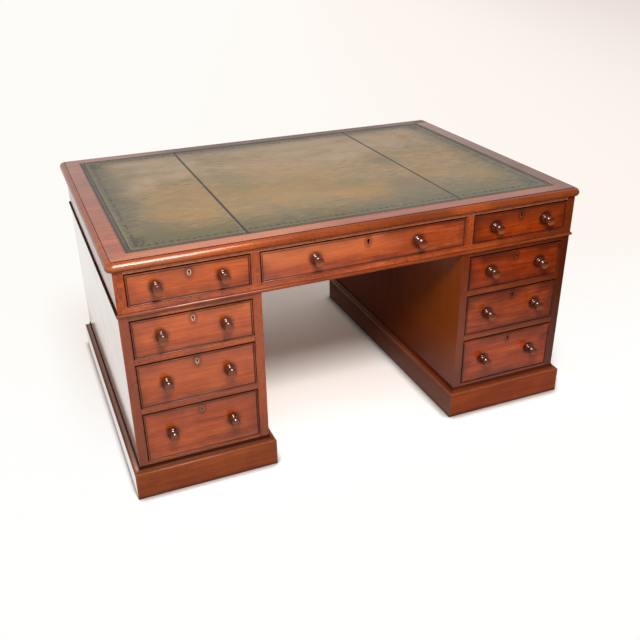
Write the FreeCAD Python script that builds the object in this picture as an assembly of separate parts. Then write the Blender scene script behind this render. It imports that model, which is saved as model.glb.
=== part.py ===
import FreeCAD, Part
import os
from math import sqrt

# A mahogany partners desk: a leather-lined top with a drawer frieze, standing on two pedestals.
# Millimetres. X is the length, -Y is the front, Z is up, and the origin is on the floor under the middle.

Vector = FreeCAD.Vector
origin = Vector(0, 0, 0)
up = Vector(0, 0, 1)
left_to_right = Vector(1, 0, 0)

# Top and leather
top_length = 1536.0
top_depth = 1058.0
top_thickness = 25.0
top_corner_radius = 22.0
top_edge_board_width = 196.0
top_moulding_width = 18.0
top_moulding_quirk = 1.5
top_moulding_nose = 15.0
top_moulding_foot = 3.0
top_moulding_fillet = 1.0
leather_end_margin = 69.5
leather_front_margin = 66.5
leather_recess = 1.6
leather_thickness = 1.2
leather_side_length = 346.0
leather_seam = 0.6

# Heights of the drawer openings and of the wood between them, from the floor up
plinth_height = 106.0
bottom_rail_show = 10.0
lower_drawer_height = 171.0
middle_drawer_height = 148.0
upper_drawer_height = 122.5
pedestal_rail_height = 19.0
pedestal_top_rail_height = 14.5
frieze_lower_rail_height = 30.0
frieze_drawer_height = 98.0
frieze_upper_rail_height = 12.0

# Frieze
frieze_end_inset = 16.5
frieze_front_inset = 12.0
frieze_end_thickness = 28.5
frieze_divider_width = 28.0
frieze_side_drawer_width = 355.0
frieze_bead_height = 12.0
frieze_bead_projection = 5.0
frieze_bead_lip = 0.8
frieze_runner_height = 20.0
frieze_guide_height = 22.0
spine_thickness = 16.0
rail_depth = 60.0
runner_width = 28.0
tenon_length = 12.0
tenon_shoulder = 3.0

# Pedestals
pedestal_width = 413.0
pedestal_inset = 15.5
pedestal_side_thickness = 28.0
partition_thickness = 16.0
dust_board_thickness = 8.0
dust_board_tongue = 6.0
cupboard_floor_thickness = 18.0
shelf_height = 230.0
shelf_thickness = 18.0
shelf_front_set_back = 20.0
shelf_bearer_size = 20.0

# Plinth: a flat face, a rounded arris, a ledge and a cavetto up to the pedestal
plinth_projection = 19.0
plinth_face_height = 91.0
plinth_arris_radius = 3.0
plinth_ledge = 6.0
plinth_lower_fillet = 2.0
plinth_upper_fillet = 3.0
plinth_upper_fillet_out = 2.5

# Drawers
drawer_side_clearance = 2.5
drawer_running_clearance = 0.3
drawer_top_clearance = 4.5
drawer_back_clearance = 6.0
drawer_front_thickness = 22.0
drawer_side_thickness = 11.0
drawer_back_thickness = 11.0
drawer_side_drop = 5.0
drawer_back_drop = 6.0
drawer_bottom_thickness = 7.0
drawer_bottom_lift = 8.0
drawer_groove_depth = 5.0
dovetail_length = 11.0
dovetail_pitch = 30.0
dovetail_pin_width = 7.0
dovetail_slope = 7.0
cockbead_width = 3.5
cockbead_depth = 10.0
cockbead_projection = 2.5

# Turned knobs: radii, and distances out from the face they stand on
knob_collar_radius = 15.5
knob_collar_swell = 1.3
knob_collar_thickness = 6.0
knob_collar_step = 4.0
knob_neck_radius = 8.5
knob_neck_out = 12.0
knob_head_foot_radius = 10.0
knob_head_foot_out = 16.0
knob_head_radius = 14.2
knob_head_out = 24.5
knob_shoulder_radius = 10.5
knob_shoulder_out = 32.0
knob_projection = 35.0
knob_tenon_radius = 5.5
knob_tenon_length = 15.0
side_knob_spacing = 190.0
centre_knob_spacing = 340.0
glue_gap = 0.1

# Locks and the brass threads round the keyholes
lock_width = 62.0
lock_height = 42.0
lock_thickness = 10.0
lock_keyway_depth = 5.0
keyhole_drop = 18.0
keyhole_radius = 2.7
keyhole_slot_width = 2.6
keyhole_slot_length = 8.5
escutcheon_wall = 1.5
escutcheon_depth = 4.0
escutcheon_proud = 0.4

# Cupboard doors and their butt hinges
door_gap = 1.2
door_thickness = 20.0
door_stile_width = 58.0
door_rail_width = 58.0
door_tenon_length = 26.0
door_tenon_shoulder = 10.0
door_panel_thickness = 8.0
door_panel_groove = 8.0
door_moulding_width = 11.0
door_knob_drop = 22.0
door_keyhole_rise = 30.0
hinge_length = 64.0
hinge_knuckle_count = 5
hinge_knuckle_radius = 4.0
hinge_knuckle_gap = 0.3
hinge_pin_radius = 1.8
hinge_pin_clearance = 0.3
hinge_leaf_thickness = 1.6
hinge_leaf_width = 16.0
hinge_stand_off = 0.4
hinge_end_distance = 60.0

# Locating pegs between the top section and the pedestals
peg_radius = 5.0
peg_clearance = 0.25
peg_height_below = 25.0
peg_height_above = 18.0
peg_distance_from_middle = 400.0
peg_edge_distance = 9.0

# Levels that follow from the heights
lower_drawer_z = plinth_height + bottom_rail_show
middle_drawer_z = lower_drawer_z + lower_drawer_height + pedestal_rail_height
upper_drawer_z = middle_drawer_z + middle_drawer_height + pedestal_rail_height
pedestal_opening_top = upper_drawer_z + upper_drawer_height
pedestal_top = pedestal_opening_top + pedestal_top_rail_height
frieze_drawer_z = pedestal_top + frieze_lower_rail_height
frieze_opening_top = frieze_drawer_z + frieze_drawer_height
frieze_top = frieze_opening_top + frieze_upper_rail_height
desk_height = frieze_top + top_thickness

# Faces that follow from the lengths
frieze_end_face = top_length / 2 - frieze_end_inset
frieze_front_face = top_depth / 2 - frieze_front_inset
frieze_inner_end = frieze_end_face - frieze_end_thickness
divider_outer = frieze_inner_end - frieze_side_drawer_width
divider_inner = divider_outer - frieze_divider_width
pedestal_outer_face = top_length / 2 - pedestal_inset
pedestal_middle = pedestal_outer_face - pedestal_width / 2
pedestal_face = top_depth / 2 - pedestal_inset
pedestal_opening = pedestal_width - 2 * pedestal_side_thickness

parts = {}


def box(x, y, z):
    """A board between two limits along each axis."""
    corner = Vector(x[0], y[0], z[0])
    return Part.makeBox(x[1] - x[0], y[1] - y[0], z[1] - z[0], corner)


def moved(shapes, x=0.0, y=0.0, z=0.0):
    return [shape.translated(Vector(x, y, z)) for shape in shapes]


def turned_to_rear(shapes):
    """The same pieces facing the other way, as the rear of the desk repeats its front."""
    return [shape.rotated(origin, up, 180) for shape in shapes]


def mirrored(shapes):
    """The same pieces on the other end of the desk."""
    return [shape.mirror(origin, left_to_right) for shape in shapes]


def section(start, *steps):
    """A face in the XZ plane. A step is a point, or two points for an arc through the first of them."""
    edges = []
    first = Vector(start[0], 0, start[1])
    here = first
    for step in steps:
        if isinstance(step[0], tuple):
            middle = Vector(step[0][0], 0, step[0][1])
            end = Vector(step[1][0], 0, step[1][1])
            edges.append(Part.Arc(here, middle, end).toShape())
        else:
            end = Vector(step[0], 0, step[1])
            edges.append(Part.LineSegment(here, end).toShape())
        here = end
    if here != first:
        edges.append(Part.LineSegment(here, first).toShape())
    return Part.Face(Part.Wire(edges))


def bow(start, end, corner):
    """A section's step along a quarter round from start to end that swells towards a corner."""
    share = 1 - sqrt(0.5)
    middle = tuple(c + (s + e - 2 * c) * share for s, e, c in zip(start, end, corner))
    return (middle, end)


def mitred_frame(length, depth, profile):
    """Four lengths of a moulding round a rectangle, mitred at the corners. Its +X is outwards."""
    reach = profile.BoundBox.XMax
    low = profile.BoundBox.ZMin
    height = profile.BoundBox.ZMax - low
    lengths = []
    for quarter in range(4):
        across, along = (length, depth) if quarter % 2 == 0 else (depth, length)
        run = profile.translated(Vector(across / 2, -along / 2 - reach, 0))
        run = run.extrude(Vector(0, along + 2 * reach, 0))
        plan = [
            Vector(across / 2, -along / 2, low),
            Vector(across / 2 + reach, -along / 2 - reach, low),
            Vector(across / 2 + reach, along / 2 + reach, low),
            Vector(across / 2, along / 2, low),
        ]
        mitre = Part.Face(Part.makePolygon(plan + plan[:1])).extrude(Vector(0, 0, height))
        lengths.append(run.common(mitre).Solids[0].rotated(origin, up, 90 * quarter))
    return lengths


def stood_up(shapes):
    """A frame made flat, stood on its edge so that its upper side faces the front."""
    return [shape.rotated(origin, left_to_right, 90) for shape in shapes]


def rail_with_tenons(x, y, z):
    """A rail between two boards, with a stub tenon on each end."""
    rail = box(x, y, z)
    tenon_y = (y[0] + 2 * tenon_shoulder, y[1] - 2 * tenon_shoulder)
    tenon_z = (z[0] + tenon_shoulder, z[1] - tenon_shoulder)
    tenons = box((x[0] - tenon_length, x[1] + tenon_length), tenon_y, tenon_z)
    return rail.fuse(tenons).removeSplitter()


def knob():
    """A turned bun knob on a foot collar, pointing to the front, with its tenon behind the face."""
    neck_foot = Vector(knob_collar_radius - knob_collar_step, 0, knob_collar_thickness)
    crown = Vector(0, 0, knob_projection)
    waist = Vector(knob_neck_radius, 0, knob_neck_out)
    head_foot = Vector(knob_head_foot_radius, 0, knob_head_foot_out)
    head_widest = Vector(knob_head_radius, 0, knob_head_out)
    head_shoulder = Vector(knob_shoulder_radius, 0, knob_shoulder_out)
    turning = Part.BSplineCurve()
    turning.interpolate(
        Points=[neck_foot, waist, head_foot, head_widest, head_shoulder, crown],
        InitialTangent=Vector(-1, 0, 1),
        FinalTangent=Vector(-1, 0, 0),
    )
    collar_foot = Vector(knob_collar_radius, 0, 0)
    collar_nose = Vector(knob_collar_radius + knob_collar_swell, 0, knob_collar_thickness / 2)
    collar_head = Vector(knob_collar_radius, 0, knob_collar_thickness)
    tenon_root = Vector(knob_tenon_radius, 0, 0)
    tenon_end = Vector(knob_tenon_radius, 0, -knob_tenon_length)
    tenon_middle = Vector(0, 0, -knob_tenon_length)
    edges = [
        Part.LineSegment(tenon_middle, tenon_end),
        Part.LineSegment(tenon_end, tenon_root),
        Part.LineSegment(tenon_root, collar_foot),
        Part.Arc(collar_foot, collar_nose, collar_head),
        Part.LineSegment(collar_head, neck_foot),
        turning,
        Part.LineSegment(crown, tenon_middle),
    ]
    profile = Part.Face(Part.Wire([edge.toShape() for edge in edges]))
    return stood_up([profile.revolve(origin, up, 360)])[0]


def knob_hole():
    radius = knob_tenon_radius + glue_gap
    return Part.makeCylinder(radius, knob_tenon_length + glue_gap, origin, Vector(0, 1, 0))


def keyhole(grow, y, middle_z):
    """A keyhole outline, a round over a slot, grown all round and run along the depth."""
    radius = keyhole_radius + grow
    half_slot = keyhole_slot_width / 2 + grow
    foot = middle_z - keyhole_slot_length
    start = Vector(0, y[0], middle_z)
    depth = y[1] - y[0]
    inwards = Vector(0, 1, 0)
    round_part = Part.makeCylinder(radius, depth, start, inwards)
    slot = box((-half_slot, half_slot), y, (foot, middle_z))
    slot_end = Part.makeCylinder(half_slot, depth, Vector(0, y[0], foot), inwards)
    return round_part.fuse([slot, slot_end]).removeSplitter()


def escutcheon(middle_z):
    y = (-escutcheon_proud, escutcheon_depth)
    return keyhole(escutcheon_wall, y, middle_z).cut(keyhole(0, y, middle_z))


def escutcheon_pocket(middle_z):
    return keyhole(escutcheon_wall + glue_gap, (0, escutcheon_depth + glue_gap), middle_z)


# Top boards

def top_slab():
    """The whole top with the thumb moulding round its edge and round its corners."""
    radius = top_corner_radius
    foot = radius - top_moulding_foot
    quirk = radius - top_moulding_width
    low = -top_thickness
    under = low + top_moulding_fillet
    nose = (radius, -top_moulding_nose)
    upper = (quirk, -top_moulding_quirk)
    profile = section(
        (0, low),
        (foot, low),
        (foot, under),
        bow((foot, under), nose, (radius, under)),
        bow(nose, upper, (radius, -top_moulding_quirk)),
        (quirk, 0),
        (0, 0),
    )
    half_x = top_length / 2 - radius
    half_y = top_depth / 2 - radius
    slab = box((-half_x, half_x), (-half_y, half_y), (low, 0))
    edges = []
    for quarter in range(4):
        across, along = (half_x, half_y) if quarter % 2 == 0 else (half_y, half_x)
        edge = profile.translated(Vector(across, -along, 0)).extrude(Vector(0, 2 * along, 0))
        corner = profile.revolve(origin, up, 90).translated(Vector(across, along, 0))
        edges += [edge.rotated(origin, up, 90 * quarter), corner.rotated(origin, up, 90 * quarter)]
    return slab.fuse(edges).removeSplitter().translated(Vector(0, 0, desk_height))


leather_end = top_length / 2 - leather_end_margin
leather_front = top_depth / 2 - leather_front_margin
recess_floor = desk_height - leather_recess
top_level = (frieze_top, desk_height)
recess = box((-leather_end, leather_end), (-leather_front, leather_front), (recess_floor, desk_height))
slab = top_slab().cut(recess)
board_edges = [-top_depth / 2, -top_depth / 2 + top_edge_board_width, 0.0]
board_edges += [-edge for edge in reversed(board_edges[:2])]
parts["top_boards"] = []
for near, far in zip(board_edges, board_edges[1:]):
    strip = box((-top_length / 2, top_length / 2), (near, far), top_level)
    parts["top_boards"] += slab.common(strip).Solids

# Leather panels, laid side by side in the recess
leather_seam_x = leather_end - leather_side_length
leather_y = (-leather_front, leather_front)
leather_z = (recess_floor, recess_floor + leather_thickness)
leather_middle = leather_seam_x - leather_seam / 2
leather_outer = leather_seam_x + leather_seam / 2
parts["leather_panels"] = [
    box((-leather_end, -leather_outer), leather_y, leather_z),
    box((-leather_middle, leather_middle), leather_y, leather_z),
    box((leather_outer, leather_end), leather_y, leather_z),
]

# Frieze frame
front_rail_y = (-frieze_front_face, -frieze_front_face + rail_depth)
rail_x = (-frieze_inner_end, frieze_inner_end)
lower_rail = rail_with_tenons(rail_x, front_rail_y, (pedestal_top, frieze_drawer_z))
upper_rail = rail_with_tenons(rail_x, front_rail_y, (frieze_opening_top, frieze_top))
divider = box((divider_inner, divider_outer), front_rail_y, (frieze_drawer_z, frieze_opening_top))
front_rails = [lower_rail, upper_rail, divider] + mirrored([divider])
frieze_rails = front_rails + turned_to_rear(front_rails)
end_y = (-frieze_front_face, frieze_front_face)
right_end = box((frieze_inner_end, frieze_end_face), end_y, (pedestal_top, frieze_top))
frieze_ends = [end.cut(frieze_rails) for end in [right_end] + mirrored([right_end])]

runner_z = (frieze_drawer_z - frieze_runner_height, frieze_drawer_z)
runner_y = (front_rail_y[1], -spine_thickness / 2)
kicker_z = (frieze_opening_top, frieze_top)
guide_z = (frieze_drawer_z, frieze_drawer_z + frieze_guide_height)
guide_x = (divider_inner, divider_outer)
shared_x = (divider_inner - runner_width, divider_outer + runner_width)
end_runner_x = (frieze_inner_end - runner_width, frieze_inner_end)
parts["frieze_spine"] = [
    box(rail_x, (-spine_thickness / 2, spine_thickness / 2), (runner_z[0], frieze_top)),
]
right_runners = [
    box(shared_x, runner_y, runner_z),
    box(shared_x, runner_y, kicker_z),
    box(guide_x, runner_y, guide_z),
    box(end_runner_x, runner_y, runner_z),
    box(end_runner_x, runner_y, kicker_z),
]
front_runners = right_runners + mirrored(right_runners)
parts["frieze_runners"] = front_runners + turned_to_rear(front_runners)

# Half-round bead planted round the foot of the frieze
bead_profile = section(
    (0, 0),
    (frieze_bead_lip, 0),
    ((frieze_bead_projection, frieze_bead_height / 2), (frieze_bead_lip, frieze_bead_height)),
    (0, frieze_bead_height),
)
bead = mitred_frame(2 * frieze_end_face, 2 * frieze_front_face, bead_profile)
parts["frieze_bead"] = moved(bead, z=pedestal_top)


# Pedestals, made about their own middle

def pedestal():
    half = pedestal_opening / 2
    outer = pedestal_width / 2
    face = pedestal_face
    inside = (-half, half)
    front_y = (-face, -face + rail_depth)
    rear_y = (face - rail_depth, face)
    bottom_rail_z = (lower_drawer_z - pedestal_rail_height, lower_drawer_z)
    top_rail_z = (pedestal_opening_top, pedestal_top)
    runner_tops = [lower_drawer_z, middle_drawer_z, upper_drawer_z]
    partition_y = (-partition_thickness / 2, partition_thickness / 2)

    rails = [rail_with_tenons(inside, front_y, (z - pedestal_rail_height, z)) for z in runner_tops]
    rails.append(rail_with_tenons(inside, front_y, top_rail_z))
    rails.append(rail_with_tenons(inside, rear_y, bottom_rail_z))
    rails.append(rail_with_tenons(inside, rear_y, top_rail_z))

    runners = []
    dust_boards = []
    for z in runner_tops:
        runner_level = (z - pedestal_rail_height, z)
        run_y = (front_y[1], partition_y[0])
        runners.append(box((-half, -half + runner_width), run_y, runner_level))
        runners.append(box((half - runner_width, half), run_y, runner_level))
        middle_z = z - pedestal_rail_height / 2
        dust_x = half - runner_width + dust_board_tongue
        dust_y = (front_y[1] - dust_board_tongue, partition_y[0])
        dust_z = (middle_z - dust_board_thickness / 2, middle_z + dust_board_thickness / 2)
        dust_boards.append(box((-dust_x, dust_x), dust_y, dust_z))
    rails = [rail.cut(dust_boards) for rail in rails]
    runners = [runner.cut(dust_boards) for runner in runners]

    side_y = (-face, face)
    sides = [box((-outer, -half), side_y, (0, pedestal_top)), box((half, outer), side_y, (0, pedestal_top))]
    sides = [side.cut(rails) for side in sides]

    floor_z = (lower_drawer_z - cupboard_floor_thickness, lower_drawer_z)
    shelf_z = lower_drawer_z + shelf_height
    shelf_y = (partition_y[1], rear_y[0] - shelf_front_set_back)
    bearer_z = (shelf_z - shelf_thickness - shelf_bearer_size, shelf_z - shelf_thickness)
    boards = [
        box(inside, (front_y[1], rear_y[0]), top_rail_z),
        box(inside, partition_y, (lower_drawer_z, pedestal_opening_top)),
        box(inside, (partition_y[0], rear_y[0]), floor_z),
        box(inside, shelf_y, (shelf_z - shelf_thickness, shelf_z)),
        box((-half, -half + shelf_bearer_size), shelf_y, bearer_z),
        box((half - shelf_bearer_size, half), shelf_y, bearer_z),
    ]
    return {"sides": sides, "rails": rails, "boards": boards, "runners": runners + dust_boards}


def plinth():
    """Four boards round the foot of a pedestal, with the moulding worked on their upper edge."""
    out = plinth_projection
    ledge = out - plinth_ledge
    arris = (out - plinth_arris_radius, plinth_face_height)
    below_arris = (out, plinth_face_height - plinth_arris_radius)
    hollow_foot = (ledge, plinth_face_height + plinth_lower_fillet)
    hollow_head = (plinth_upper_fillet_out, plinth_height - plinth_upper_fillet)
    profile = section(
        (0, 0),
        (out, 0),
        below_arris,
        bow(below_arris, arris, (out, plinth_face_height)),
        (ledge, plinth_face_height),
        hollow_foot,
        bow(hollow_foot, hollow_head, (hollow_head[0], hollow_foot[1])),
        (plinth_upper_fillet_out, plinth_height),
        (0, plinth_height),
    )
    return mitred_frame(pedestal_width, 2 * pedestal_face, profile)


left_pedestal = pedestal()
left_pedestal["plinth"] = plinth()
left_pedestal = {name: moved(solids, x=-pedestal_middle) for name, solids in left_pedestal.items()}

# Locating pegs: two through each frieze end into a pedestal's outer side, two in its inner side
outer_peg_x = pedestal_outer_face - peg_edge_distance
inner_peg_x = pedestal_outer_face - pedestal_width + peg_edge_distance
inner_peg_y = frieze_front_face - rail_depth / 2


def peg(x, y, grow):
    height = peg_height_below + peg_height_above + 2 * grow
    return Part.makeCylinder(peg_radius + grow, height, Vector(x, y, pedestal_top - peg_height_below - grow))


right_peg_places = []
for side in (-1, 1):
    right_peg_places.append((outer_peg_x, side * peg_distance_from_middle))
    right_peg_places.append((inner_peg_x, side * inner_peg_y))
right_pegs = [peg(x, y, 0) for x, y in right_peg_places]
right_peg_holes = [peg(x, y, peg_clearance) for x, y in right_peg_places]
peg_holes = right_peg_holes + mirrored(right_peg_holes)
parts["locating_pegs"] = right_pegs + mirrored(right_pegs)
parts["frieze_ends"] = [end.cut(peg_holes) for end in frieze_ends]
parts["frieze_rails"] = [rail.cut(peg_holes) for rail in frieze_rails]


# Drawers, made with the middle of the opening's foot at the origin and the face at y = 0

def dovetails(root_y, tip_y, z, inner_x):
    """Solid tails across a drawer side on the right, wider at the tip."""
    count = max(2, round((z[1] - z[0]) / dovetail_pitch))
    pitch = (z[1] - z[0]) / count
    half_tip = (pitch - dovetail_pin_width) / 2
    half_root = half_tip - abs(tip_y - root_y) / dovetail_slope
    tails = []
    for number in range(count):
        middle = z[0] + pitch * (number + 0.5)
        corners = [
            Vector(inner_x, root_y, middle - half_root),
            Vector(inner_x, tip_y, middle - half_tip),
            Vector(inner_x, tip_y, middle + half_tip),
            Vector(inner_x, root_y, middle + half_root),
        ]
        face = Part.Face(Part.makePolygon(corners + corners[:1]))
        tails.append(face.extrude(Vector(drawer_side_thickness, 0, 0)))
    return tails


def drawer(opening_width, opening_height, length, knob_spacing):
    half = opening_width / 2 - drawer_side_clearance
    inside = half - drawer_side_thickness
    foot = drawer_running_clearance
    head = opening_height - drawer_top_clearance
    side_head = head - drawer_side_drop
    back_head = side_head - drawer_back_drop
    front_back = drawer_front_thickness
    keyhole_z = head - keyhole_drop
    knob_z = (foot + head) / 2

    # Front board, rebated round the edge for the cock beads
    bead_x = half - cockbead_width
    bead_z = (foot + cockbead_width, head - cockbead_width)
    front = box((-half, half), (cockbead_depth, front_back), (foot, head))
    front = front.fuse(box((-bead_x, bead_x), (0, cockbead_depth), bead_z)).removeSplitter()
    nose = cockbead_projection - cockbead_width / 2
    bead_profile = section(
        (0, -cockbead_depth),
        (cockbead_width, -cockbead_depth),
        (cockbead_width, nose),
        ((cockbead_width / 2, cockbead_projection), (0, nose)),
    )
    beads = stood_up(mitred_frame(2 * bead_x, bead_z[1] - bead_z[0], bead_profile))
    beads = moved(beads, z=knob_z)

    # Sides with their tails, back with its pins, and the bottom in its grooves
    front_tails = dovetails(front_back, front_back - dovetail_length, (foot, side_head), inside)
    bottom_z = (foot + drawer_bottom_lift, foot + drawer_bottom_lift + drawer_bottom_thickness)
    bottom_half = inside + drawer_groove_depth
    bottom = box((-bottom_half, bottom_half), (front_back, length), bottom_z)
    tongue = box((-inside, inside), (front_back - drawer_groove_depth, front_back), bottom_z)
    bottom = bottom.fuse(tongue).removeSplitter()
    back_z = (bottom_z[1], back_head)
    back_tails = dovetails(length - drawer_back_thickness, length, back_z, inside)
    back = box((-half, half), (length - drawer_back_thickness, length), back_z)
    back = back.cut(back_tails + mirrored(back_tails))
    right_side = box((inside, half), (front_back, length), (foot, side_head))
    right_side = right_side.fuse(front_tails).removeSplitter().cut([back, bottom])
    sides = [right_side] + mirrored([right_side])

    # Lock let into the back of the front, with the keyhole through to it
    lock_y = (front_back - lock_thickness, front_back)
    lock = box((-lock_width / 2, lock_width / 2), lock_y, (head - lock_height, head))
    keyway = keyhole(0, (0, lock_y[0] + lock_keyway_depth), keyhole_z)
    knob_x = [-knob_spacing / 2, knob_spacing / 2]
    knob_holes = [knob_hole().translated(Vector(x, 0, knob_z)) for x in knob_x]
    cuts = front_tails + mirrored(front_tails) + knob_holes
    front = front.cut(cuts + [bottom, lock, keyway, escutcheon_pocket(keyhole_z)])
    lock = lock.cut(keyway)
    knobs = [knob().translated(Vector(x, 0, knob_z)) for x in knob_x]
    return {
        "face": [front] + beads + knobs,
        "box": sides + [back, bottom],
        "lock": [lock, escutcheon(keyhole_z)],
    }


def add_drawer(name, pieces, place, rear=False):
    for kind, solids in pieces.items():
        solids = turned_to_rear(solids) if rear else solids
        parts[name + "_" + kind] = moved(solids, *place)


frieze_drawer_length = frieze_front_face - spine_thickness / 2 - drawer_back_clearance
side_drawer = drawer(frieze_side_drawer_width, frieze_drawer_height, frieze_drawer_length, side_knob_spacing)
centre_drawer = drawer(2 * divider_inner, frieze_drawer_height, frieze_drawer_length, centre_knob_spacing)
side_drawer_x = (divider_outer + frieze_inner_end) / 2
for end, x in (("left", -side_drawer_x), ("right", side_drawer_x)):
    add_drawer("frieze_drawer_" + end, side_drawer, (x, -frieze_front_face, frieze_drawer_z))
    add_drawer("rear_frieze_drawer_" + end, side_drawer, (x, frieze_front_face, frieze_drawer_z), rear=True)
add_drawer("frieze_drawer_centre", centre_drawer, (0, -frieze_front_face, frieze_drawer_z))
add_drawer("rear_frieze_drawer_centre", centre_drawer, (0, frieze_front_face, frieze_drawer_z), rear=True)

pedestal_drawer_length = pedestal_face - partition_thickness / 2 - drawer_back_clearance
pedestal_drawers = (
    ("upper", upper_drawer_z, upper_drawer_height),
    ("middle", middle_drawer_z, middle_drawer_height),
    ("lower", lower_drawer_z, lower_drawer_height),
)
for level, z, height in pedestal_drawers:
    pieces = drawer(pedestal_opening, height, pedestal_drawer_length, side_knob_spacing)
    add_drawer("left_drawer_" + level, pieces, (-pedestal_middle, -pedestal_face, z))
    add_drawer("right_drawer_" + level, pieces, (pedestal_middle, -pedestal_face, z))


# Cupboard doors, made as a drawer is, with the hinges on the +X edge

door_height = pedestal_opening_top - lower_drawer_z
door_half = pedestal_opening / 2 - door_gap
door_z = (door_gap, door_height - door_gap)
hinge_x = pedestal_opening / 2 - door_gap / 2
hinge_y = -(hinge_knuckle_radius + hinge_stand_off)
lower_hinge_z = door_z[0] + hinge_end_distance
upper_hinge_z = door_z[1] - hinge_end_distance - hinge_length


def hinge_leaf(z, plate_x, knuckles):
    """A leaf let into an edge, with the knuckles that belong to it, bored for the pin."""
    pitch = hinge_length / hinge_knuckle_count
    leaf = box(plate_x, (0, hinge_leaf_width), (z, z + hinge_length))
    bore_radius = hinge_pin_radius + hinge_pin_clearance
    bore = Part.makeCylinder(bore_radius, hinge_length, Vector(hinge_x, hinge_y, z))
    for number in knuckles:
        low = z + number * pitch + hinge_knuckle_gap / 2
        height = pitch - hinge_knuckle_gap
        barrel = Part.makeCylinder(hinge_knuckle_radius, height, Vector(hinge_x, hinge_y, low))
        neck = box(plate_x, (hinge_y, 0), (low, low + height))
        leaf = leaf.fuse([barrel, neck])
    return leaf.removeSplitter().cut(bore)


def hinge_pin(z):
    """The pin, held by the knuckles of the fixed leaf, with a button on each end."""
    button = hinge_pin_radius + 2 * hinge_pin_clearance
    low = Vector(hinge_x, hinge_y, z - hinge_pin_clearance)
    high = Vector(hinge_x, hinge_y, z + hinge_length)
    pin = Part.makeCylinder(hinge_pin_radius, hinge_length, Vector(hinge_x, hinge_y, z))
    buttons = [Part.makeCylinder(button, hinge_pin_clearance, place) for place in (low, high)]
    return pin.fuse(buttons).removeSplitter()


def cupboard_door():
    stile_inner = door_half - door_stile_width
    panel_y = (door_thickness / 2 - door_panel_thickness / 2, door_thickness / 2 + door_panel_thickness / 2)
    depth = (0, door_thickness)
    light_z = (door_z[0] + door_rail_width, door_z[1] - door_rail_width)
    panel_half = stile_inner + door_panel_groove
    panel_z = (light_z[0] - door_panel_groove, light_z[1] + door_panel_groove)
    panel = box((-panel_half, panel_half), panel_y, panel_z)

    rails = []
    for z in ((door_z[0], light_z[0]), (light_z[1], door_z[1])):
        tenon_x = stile_inner + door_tenon_length
        tenon_z = (z[0] + door_tenon_shoulder, z[1] - door_tenon_shoulder)
        rail = box((-stile_inner, stile_inner), depth, z)
        rail = rail.fuse(box((-tenon_x, tenon_x), panel_y, tenon_z)).removeSplitter()
        rails.append(rail.cut(panel))
    free_stile = box((-door_half, -stile_inner), depth, door_z)
    hung_stile = box((stile_inner, door_half), depth, door_z)

    # Quarter-round moulding planted in the corner between frame and panel
    moulding_profile = section(
        (0, 0),
        (door_moulding_width, 0),
        (door_moulding_width, panel_y[0]),
        bow((door_moulding_width, panel_y[0]), (0, 0), (0, panel_y[0])),
    )
    light_height = light_z[1] - light_z[0]
    inner_length = 2 * stile_inner - 2 * door_moulding_width
    mouldings = mitred_frame(inner_length, light_height - 2 * door_moulding_width, moulding_profile)
    mouldings = moved(stood_up(mouldings), y=panel_y[0], z=(light_z[0] + light_z[1]) / 2)

    # Knob, lock and keyhole on the free stile
    middle_x = -(door_half + stile_inner) / 2
    middle_z = (door_z[0] + door_z[1]) / 2
    knob_z = middle_z - door_knob_drop
    keyhole_z = middle_z + door_keyhole_rise
    lock_y = (door_thickness - lock_thickness, door_thickness)
    lock_z = (keyhole_z - lock_height / 2, keyhole_z + lock_height / 2)
    lock = box((-door_half, -stile_inner - door_panel_groove), lock_y, lock_z)
    keyway = keyhole(0, (0, lock_y[0] + lock_keyway_depth), keyhole_z).translated(Vector(middle_x, 0, 0))
    pocket = escutcheon_pocket(keyhole_z).translated(Vector(middle_x, 0, 0))
    knob_place = Vector(middle_x, 0, knob_z)
    free_stile = free_stile.cut(rails + [panel, lock, keyway, pocket, knob_hole().translated(knob_place)])

    leaf_x = (door_half - hinge_leaf_thickness, door_half)
    leaves = [hinge_leaf(z, leaf_x, range(1, hinge_knuckle_count, 2)) for z in (lower_hinge_z, upper_hinge_z)]
    hung_stile = hung_stile.cut(rails + [panel] + leaves)
    thread = escutcheon(keyhole_z).translated(Vector(middle_x, 0, 0))
    return {
        "frame": [free_stile, hung_stile, panel] + rails + mouldings + [knob().translated(knob_place)],
        "brass": leaves + [lock.cut(keyway), thread],
    }


def fixed_hinges():
    """The leaves let into the pedestal's outer side, with their pins."""
    plate_x = (pedestal_opening / 2, pedestal_opening / 2 + hinge_leaf_thickness)
    pieces = []
    for z in (lower_hinge_z, upper_hinge_z):
        pieces.append(hinge_leaf(z, plate_x, range(0, hinge_knuckle_count, 2)))
        pieces.append(hinge_pin(z))
    return pieces


door_place = (-pedestal_middle, pedestal_face, lower_drawer_z)
for kind, solids in cupboard_door().items():
    left_door = moved(turned_to_rear(solids), *door_place)
    parts["left_door_" + kind] = left_door
    parts["right_door_" + kind] = mirrored(left_door)
left_hinges = moved(turned_to_rear(fixed_hinges()), *door_place)
parts["cupboard_hinges"] = left_hinges + mirrored(left_hinges)

# Pedestal sides take the peg holes and the recesses for the fixed hinge leaves
left_pedestal["sides"] = [side.cut(peg_holes + left_hinges) for side in left_pedestal["sides"]]
for kind, solids in left_pedestal.items():
    parts["left_pedestal_" + kind] = solids
    parts["right_pedestal_" + kind] = mirrored(solids)

os.makedirs("parts", exist_ok=True)
for name, solids in parts.items():
    shape = solids[0] if len(solids) == 1 else Part.makeCompound(solids)
    shape.exportStep("parts/" + name + ".step")
print(len(parts), "nodes,", sum(len(solids) for solids in parts.values()), "solids, height", desk_height)
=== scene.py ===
import math

import bmesh
import bpy
from mathutils import Matrix, Vector


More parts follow.
